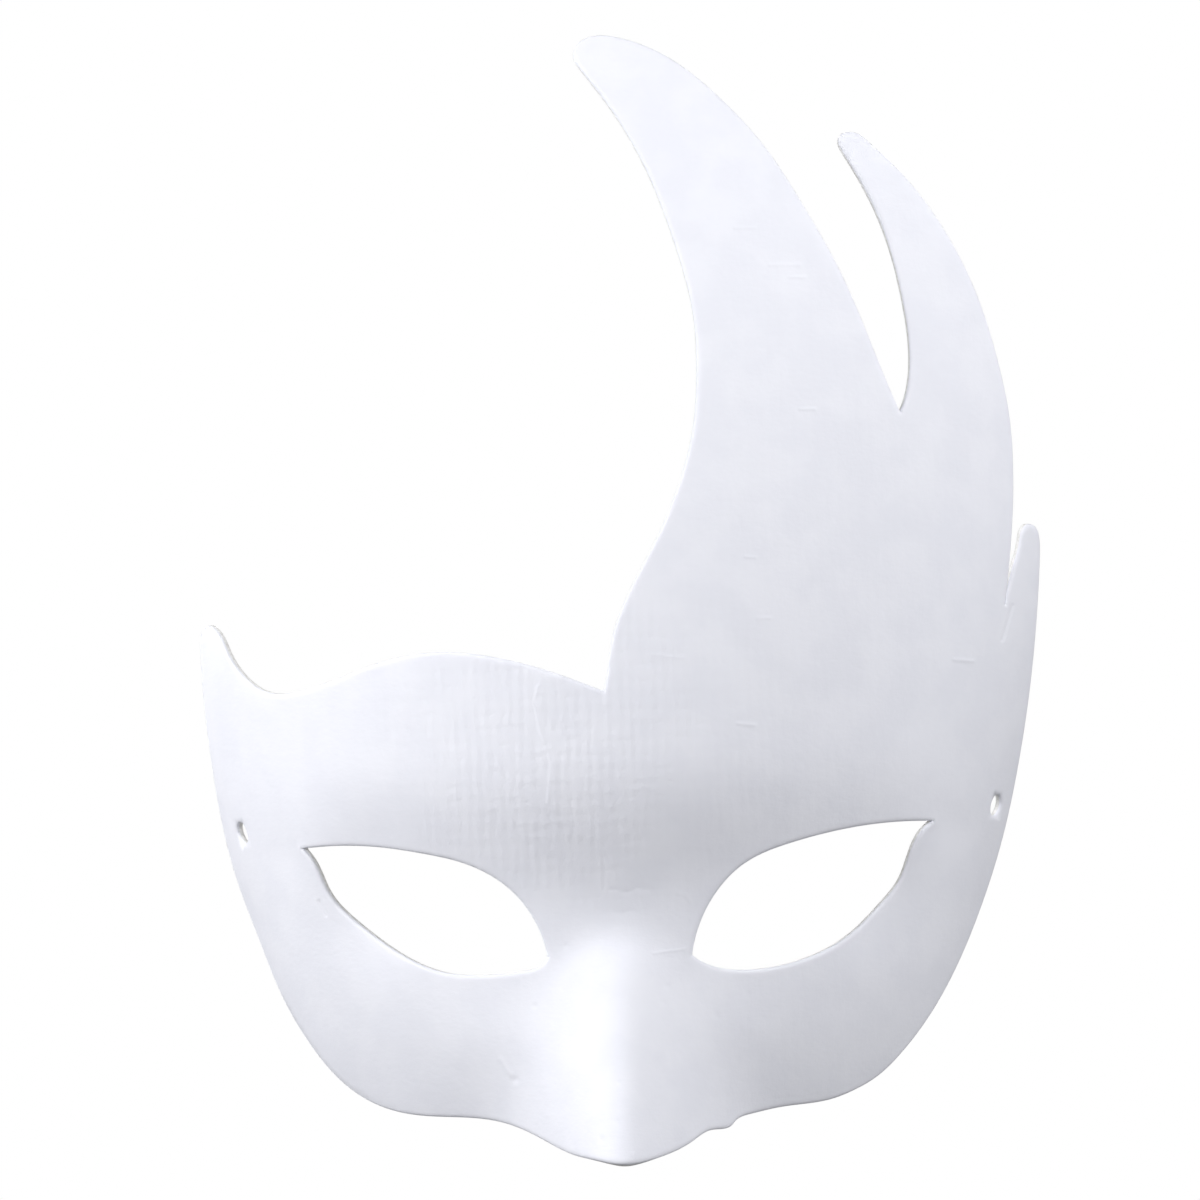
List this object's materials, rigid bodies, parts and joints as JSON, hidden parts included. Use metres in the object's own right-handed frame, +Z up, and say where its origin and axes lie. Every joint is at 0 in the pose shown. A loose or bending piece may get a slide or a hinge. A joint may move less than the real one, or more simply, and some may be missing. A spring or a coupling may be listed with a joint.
{
  "type": "masquerade half mask",
  "caption": "Blank white papier-mache masquerade half mask with almond eye openings, a moulded nose, a tall off-centre flame crest and temple holes for a cord.",
  "frame": {"origin": "midway between the mouths of the two temple cord holes, where cords would hold the mask on a head", "axes": "+X to the right as the mask is looked at from the front, +Y backwards into the face, +Z up along the crest"},
  "size_m": [0.1817, 0.0806, 0.2344],
  "materials": {
    "white_facing": "smooth matt white paper with faint ribs, creases and pits",
    "pulp": "fibrous pressed paper pulp",
    "back_lining": "matt off-white paper with the print of the forming mesh"
  },
  "bodies": {
    "root": {"front_facing": "white_facing", "pulp_core": "pulp", "back_lining": "back_lining"}
  },
  "joints": []
}
